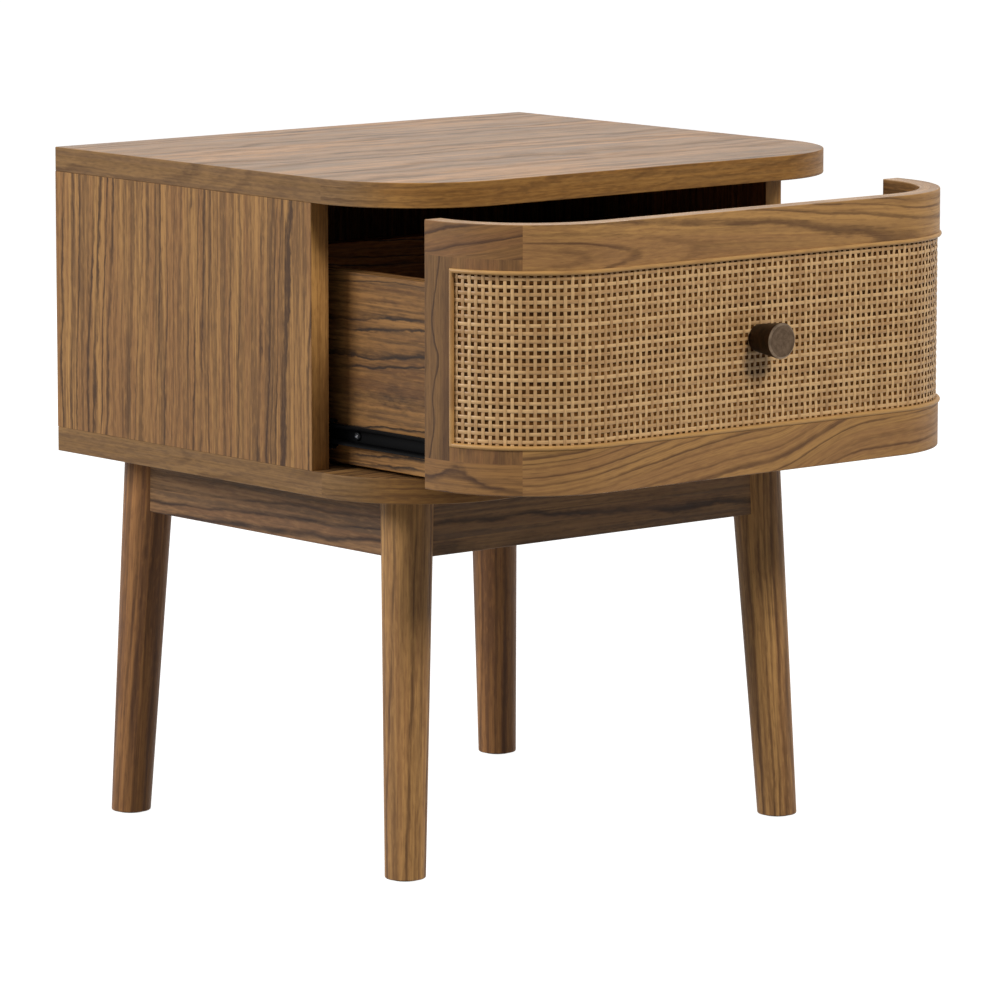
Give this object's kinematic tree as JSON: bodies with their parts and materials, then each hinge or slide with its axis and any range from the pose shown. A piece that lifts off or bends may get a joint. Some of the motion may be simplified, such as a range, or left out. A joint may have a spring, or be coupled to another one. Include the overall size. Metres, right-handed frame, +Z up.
{
  "type": "nightstand with one drawer",
  "caption": "Nightstand with one bow-cornered caned drawer on ball-bearing runners, round knob, apron rails and splayed round tapered legs.",
  "frame": {"origin": "on the floor, under the middle of the stand's box with its drawer open as stored", "axes": "+X to the right of someone who stands in front and faces the drawer; +Y from the drawer's knob to the back; +Z up; the drawer opens towards -Y"},
  "size_m": [0.45, 0.5466, 0.5],
  "materials": {
    "walnut_veneer": "walnut-stained open-grain veneer, satin lacquer",
    "dark_walnut": "walnut-stained solid wood, satin lacquer",
    "pale_wood": "plain beech and birch plywood, unfinished",
    "cane": "woven cane webbing, clear lacquer",
    "reed": "split reed, stained honey, clear lacquer",
    "dark_bronze": "dark antique bronze, brushed face",
    "black_steel": "black electrocoated steel",
    "zinc_plate": "bright zinc plate",
    "ball_steel": "polished bearing steel",
    "nylon": "moulded dark brown nylon"
  },
  "bodies": {
    "case": {"top_panel": "walnut_veneer", "bottom_panel": "walnut_veneer", "side_panel_left": "walnut_veneer", "side_panel_right": "walnut_veneer", "back_panel": "dark_walnut", "case_dowels": "pale_wood", "front_rail": "dark_walnut", "rear_rail": "dark_walnut", "left_rail": "dark_walnut", "right_rail": "dark_walnut", "leg_front_left": "dark_walnut", "leg_front_right": "dark_walnut", "leg_rear_left": "dark_walnut", "leg_rear_right": "dark_walnut", "corner_blocks": "pale_wood", "leg_bolts": "zinc_plate", "leg_nuts": "zinc_plate", "base_screws": "zinc_plate", "foot_glides": "nylon", "case_runner_left": "black_steel", "case_runner_right": "black_steel", "case_runner_screws": "zinc_plate"},
    "drawer": {"drawer_runner_left": "black_steel", "drawer_runner_right": "black_steel", "drawer_runner_screws": "zinc_plate", "drawer_front": "walnut_veneer", "cane_webbing": "cane", "reed_border": "reed", "knob": "dark_bronze", "knob_screw": "zinc_plate", "drawer_side_left": "walnut_veneer", "drawer_side_right": "walnut_veneer", "drawer_back": "walnut_veneer", "drawer_bottom": "pale_wood", "drawer_dowels": "pale_wood"},
    "cage_left": {"ball_cage_left": "zinc_plate", "runner_balls_left": "ball_steel"},
    "cage_right": {"ball_cage_right": "zinc_plate", "runner_balls_right": "ball_steel"}
  },
  "joints": [
    {"name": "drawer_slide", "type": "slide", "parent": "case", "child": "drawer", "axis": [0, -1, 0], "range_m": [-0.123, 0.061]},
    {"name": "cage_left_roll", "type": "slide", "parent": "case", "child": "cage_left", "axis": [0, -1, 0], "range_m": [-0.0615, 0.0305]},
    {"name": "cage_right_roll", "type": "slide", "parent": "case", "child": "cage_right", "axis": [0, -1, 0], "range_m": [-0.0615, 0.0305]}
  ],
  "couplings": [
    {"joint": "cage_left_roll", "follows": "drawer_slide", "ratio": 0.5},
    {"joint": "cage_right_roll", "follows": "drawer_slide", "ratio": 0.5}
  ]
}
